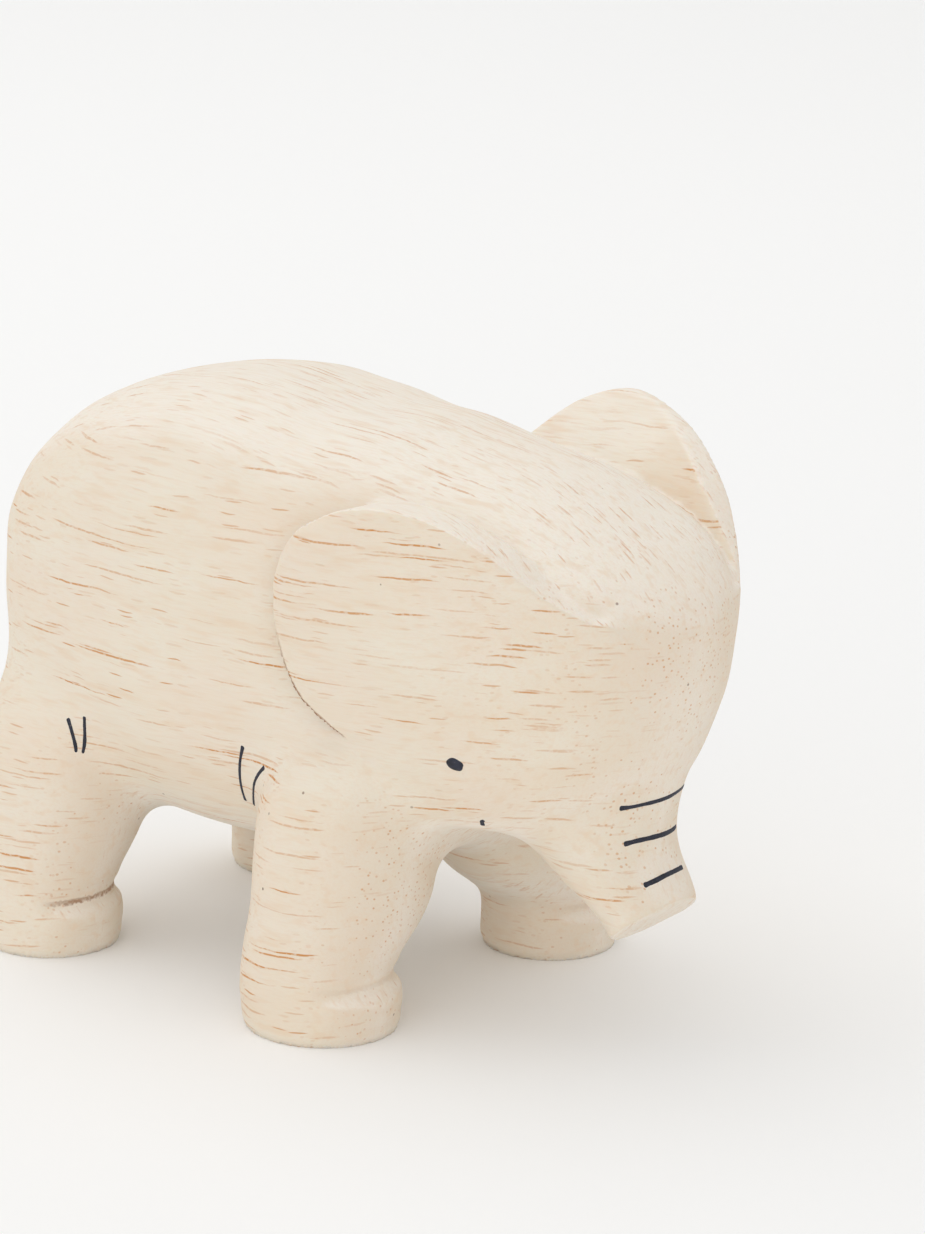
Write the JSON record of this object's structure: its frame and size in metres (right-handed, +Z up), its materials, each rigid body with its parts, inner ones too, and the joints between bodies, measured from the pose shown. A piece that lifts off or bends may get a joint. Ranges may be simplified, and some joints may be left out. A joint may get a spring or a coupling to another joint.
{
  "type": "carved wooden elephant figurine",
  "caption": "Small free-standing elephant carved from one block of pale wood, with round body, flared ears, short trunk and fine ink marks for eyes, mouth and folds.",
  "frame": {"origin": "on the ground under the middle of the figure", "axes": "+X forward to the trunk, +Y to the elephant's left, +Z up"},
  "size_m": [0.0821, 0.0476, 0.0576],
  "materials": {
    "pale_wood": "unvarnished, sanded, matte, fine open pores",
    "ink": "dried blue-black pen ink"
  },
  "bodies": {
    "root": {"carved_body": "pale_wood", "eye_left": "ink", "eye_right": "ink", "front_fold_front_left": "ink", "front_fold_front_right": "ink", "front_fold_rear_left": "ink", "front_fold_rear_right": "ink", "hind_fold_front_left": "ink", "hind_fold_front_right": "ink", "hind_fold_rear_left": "ink", "hind_fold_rear_right": "ink", "mouth_left": "ink", "mouth_right": "ink", "trunk_line_lower": "ink", "trunk_line_middle": "ink", "trunk_line_upper": "ink"}
  },
  "joints": []
}
